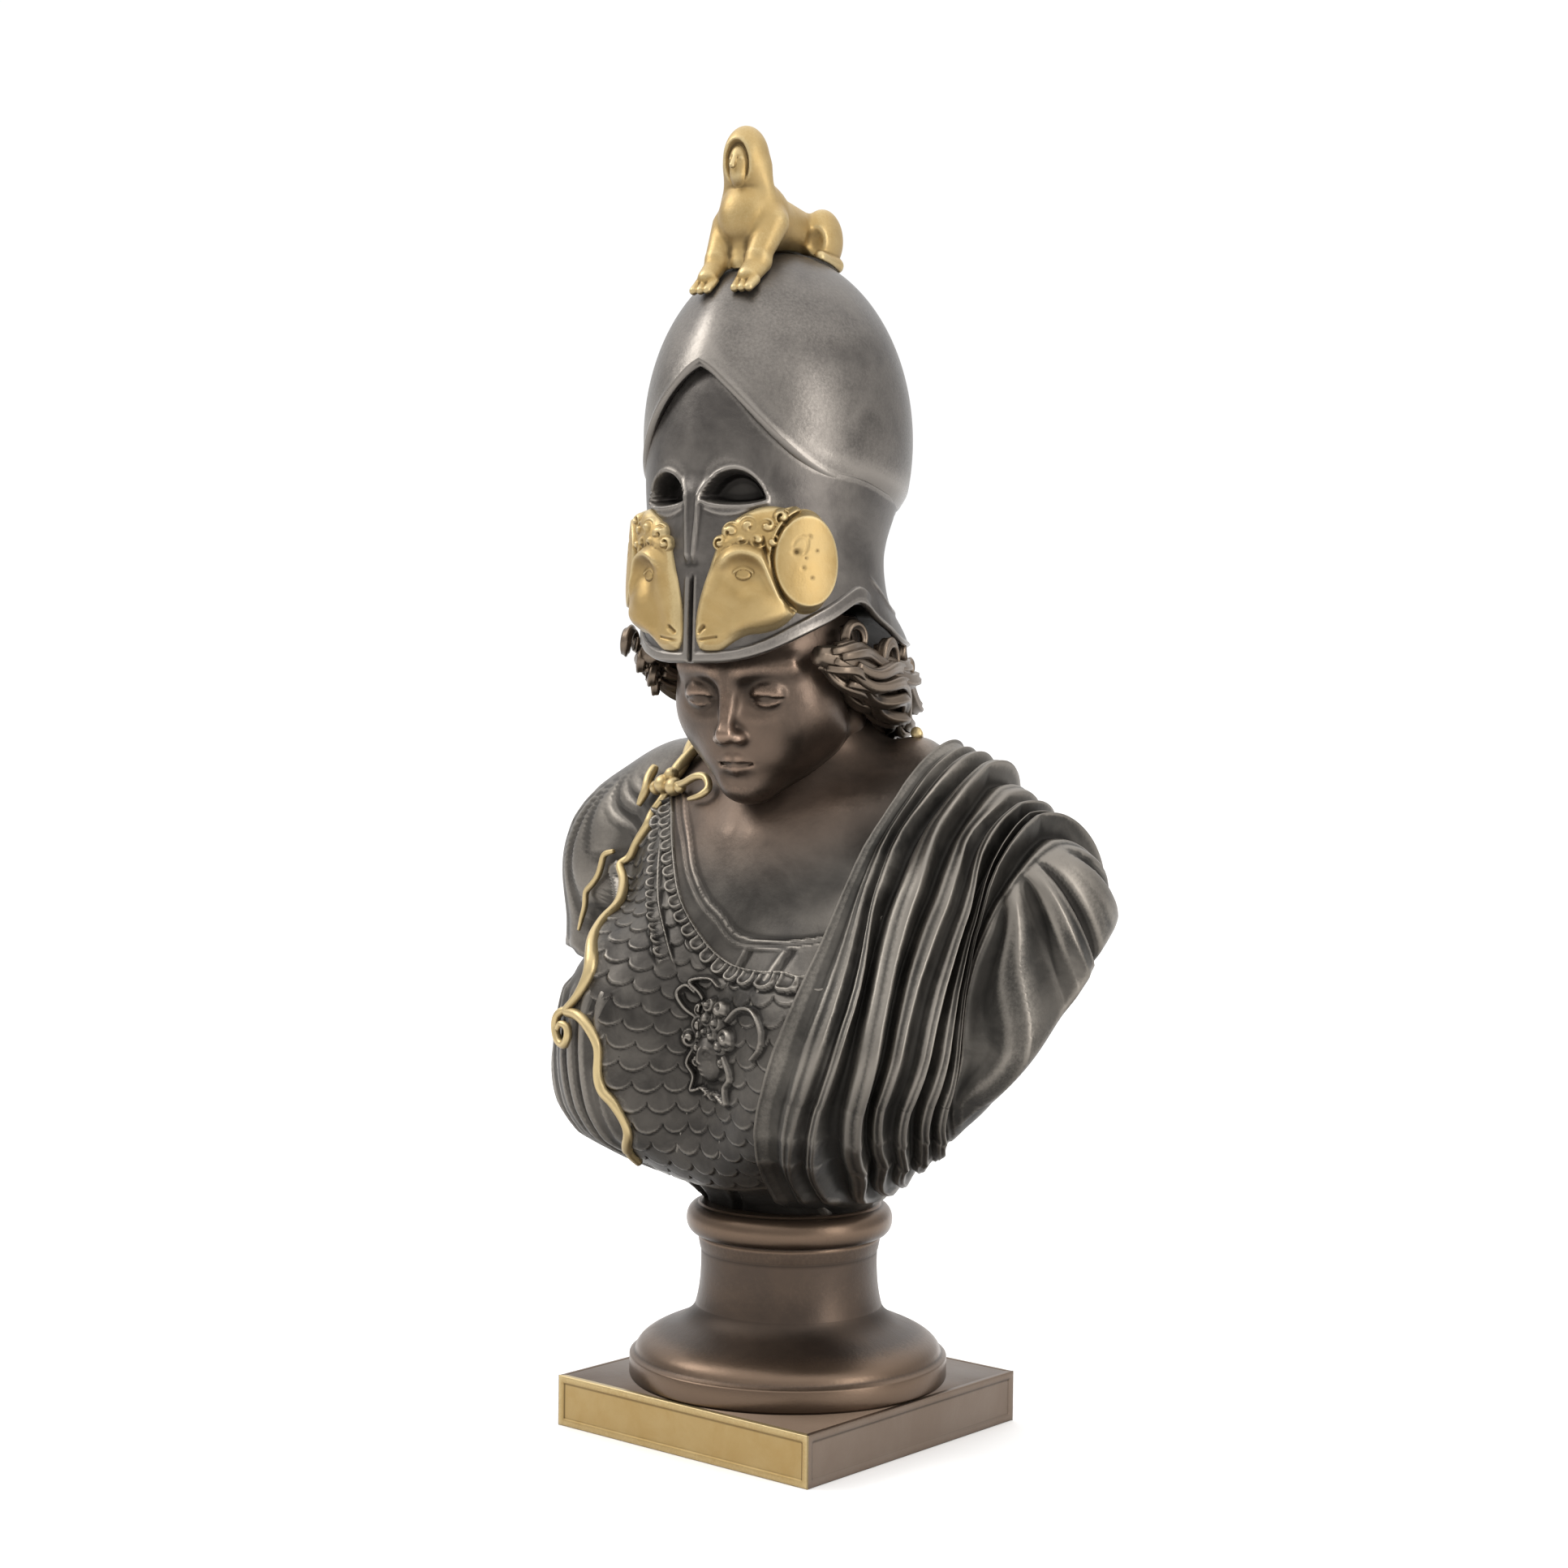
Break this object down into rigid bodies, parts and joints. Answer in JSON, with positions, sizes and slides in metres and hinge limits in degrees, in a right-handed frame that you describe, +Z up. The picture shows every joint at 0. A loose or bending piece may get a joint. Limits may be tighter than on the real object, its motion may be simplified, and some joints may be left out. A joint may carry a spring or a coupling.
{
  "type": "helmeted goddess bust",
  "caption": "Bronze bust of a helmeted goddess in a scale cape and folded mantle, on a turned socle and square plinth, with a small gilt sphinx lying on the helmet.",
  "frame": {"origin": "middle of the plinth's underside", "axes": "+Z up, the gilded front of the plinth faces -Y, and +X is towards the wearer's left arm under the mantle"},
  "size_m": [0.3235, 0.1876, 0.6285],
  "materials": {
    "socle_bronze": "brown patinated cast bronze, satin, slightly worn on the edges",
    "dark_bronze": "near-black brown patinated cast bronze, satin, lighter on worn folds",
    "gilt_bronze": "matt gilding over cast bronze, darker in the hollows"
  },
  "bodies": {
    "root": {"plinth": "socle_bronze", "socle": "socle_bronze", "bust": "dark_bronze", "sphinx": "gilt_bronze"}
  },
  "joints": []
}
